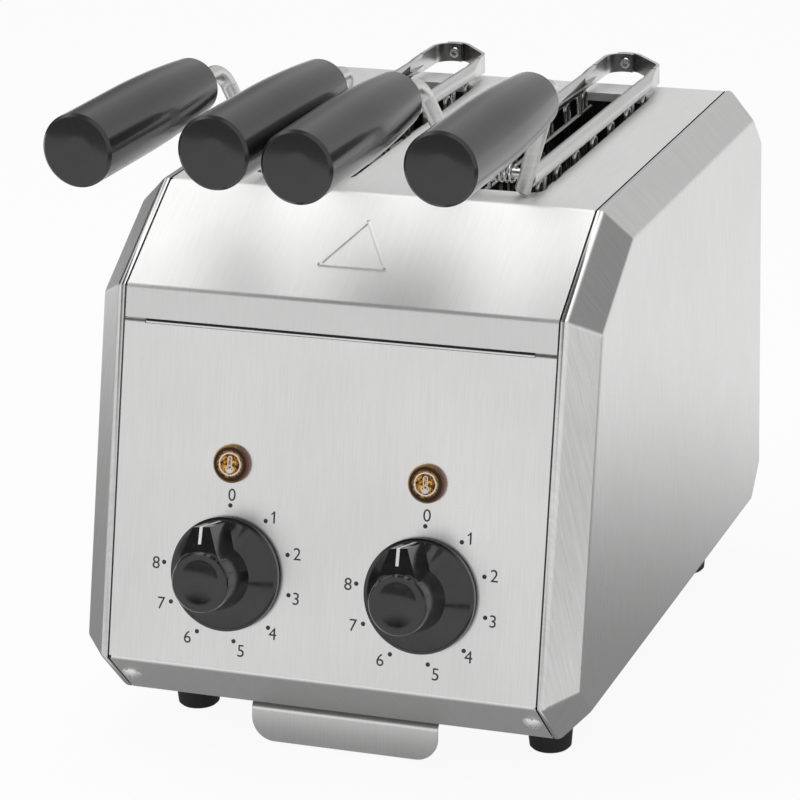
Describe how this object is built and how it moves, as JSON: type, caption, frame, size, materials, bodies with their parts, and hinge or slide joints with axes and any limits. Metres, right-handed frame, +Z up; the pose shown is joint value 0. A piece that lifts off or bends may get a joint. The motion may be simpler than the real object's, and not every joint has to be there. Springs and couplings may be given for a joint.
{
  "type": "two-slot toaster with sandwich tongs",
  "caption": "Bevelled steel counter toaster with long bread slots, dial timers, a pull-out crumb tray and lift-out sprung sandwich tongs.",
  "frame": {"origin": "on the counter, under the middle of the whole toaster with its tongs in place", "axes": "+Z up, the controls face -Y, +X to the right as seen from the controls"},
  "size_m": [0.22, 0.3635, 0.2965],
  "materials": {
    "satin_steel": "satin brushed",
    "inner_steel": "mill",
    "strip_steel": "polished strip",
    "bright_wire": "bright drawn",
    "handle_black": "semi matt",
    "knob_black": "gloss",
    "moulded_black": "moulded",
    "foot_rubber": "moulded",
    "amber_lens": "clear tinted",
    "quartz": "clear",
    "ceramic": "unglazed"
  },
  "bodies": {
    "toaster": {"left_side_panel": "satin_steel", "right_side_panel": "satin_steel", "top_cover": "satin_steel", "front_panel": "satin_steel", "rear_panel": "satin_steel", "base_plate": "inner_steel", "tray_runners": "inner_steel", "feet": "foot_rubber", "front_screws": "bright_wire", "rear_screws": "bright_wire", "left_chassis_plate": "inner_steel", "right_chassis_plate": "inner_steel", "front_bulkhead": "inner_steel", "rear_bulkhead": "inner_steel", "left_reflector": "inner_steel", "centre_reflector": "inner_steel", "right_reflector": "inner_steel", "heater_1": "quartz", "heater_2": "quartz", "heater_3": "quartz", "heater_4": "quartz", "heater_holders": "ceramic", "guard_1": "bright_wire", "guard_2": "bright_wire", "guard_3": "bright_wire", "guard_4": "bright_wire", "left_timer": "moulded_black", "right_timer": "moulded_black", "left_lamp_lens": "amber_lens", "right_lamp_lens": "amber_lens", "left_lamp_body": "moulded_black", "right_lamp_body": "moulded_black", "terminal_block": "ceramic", "cable_gland": "moulded_black"},
    "left_tong": {"left_tong_left_arm": "strip_steel", "left_tong_left_bracket": "strip_steel", "left_tong_left_handle": "handle_black", "left_tong_left_grid": "bright_wire", "left_tong_rivet": "bright_wire", "left_tong_spring": "bright_wire"},
    "left_tong_jaw": {"left_tong_right_arm": "strip_steel", "left_tong_right_bracket": "strip_steel", "left_tong_right_handle": "handle_black", "left_tong_right_grid": "bright_wire"},
    "right_tong": {"right_tong_left_arm": "strip_steel", "right_tong_left_bracket": "strip_steel", "right_tong_left_handle": "handle_black", "right_tong_left_grid": "bright_wire", "right_tong_rivet": "bright_wire", "right_tong_spring": "bright_wire"},
    "right_tong_jaw": {"right_tong_right_arm": "strip_steel", "right_tong_right_bracket": "strip_steel", "right_tong_right_handle": "handle_black", "right_tong_right_grid": "bright_wire"},
    "left_control": {"left_knob": "knob_black", "left_timer_shaft": "bright_wire"},
    "right_control": {"right_knob": "knob_black", "right_timer_shaft": "bright_wire"},
    "tray": {"crumb_tray": "satin_steel"}
  },
  "joints": [
    {"name": "left_knob_turn", "type": "hinge", "parent": "toaster", "child": "left_control", "pos_m": [-0.043, -0.12872, 0.08478], "axis": [0, 0.972, -0.2351], "range_deg": [0, 280]},
    {"name": "right_knob_turn", "type": "hinge", "parent": "toaster", "child": "right_control", "pos_m": [0.043, -0.12872, 0.08478], "axis": [0, 0.972, -0.2351], "range_deg": [0, 280]},
    {"name": "left_tong_lift", "type": "slide", "parent": "toaster", "child": "left_tong", "axis": [0, 0, 1], "range_m": [0, 0.15]},
    {"name": "left_tong_squeeze", "type": "hinge", "parent": "left_tong", "child": "left_tong_jaw", "pos_m": [-0.03644, 0.16498, 0.2373], "axis": [0, 0, -1], "range_deg": [0, 4.5], "stiffness_Nm_per_rad": 8, "deforming": ["left_tong_spring"]},
    {"name": "right_tong_lift", "type": "slide", "parent": "toaster", "child": "right_tong", "axis": [0, 0, 1], "range_m": [0, 0.15]},
    {"name": "right_tong_squeeze", "type": "hinge", "parent": "right_tong", "child": "right_tong_jaw", "pos_m": [0.04767, 0.16502, 0.2373], "axis": [0, 0, -1], "range_deg": [0, 4.5], "stiffness_Nm_per_rad": 8, "deforming": ["right_tong_spring"]},
    {"name": "crumb_tray_slide", "type": "slide", "parent": "toaster", "child": "tray", "axis": [0, -1, 0], "range_m": [0, 0.2]}
  ]
}
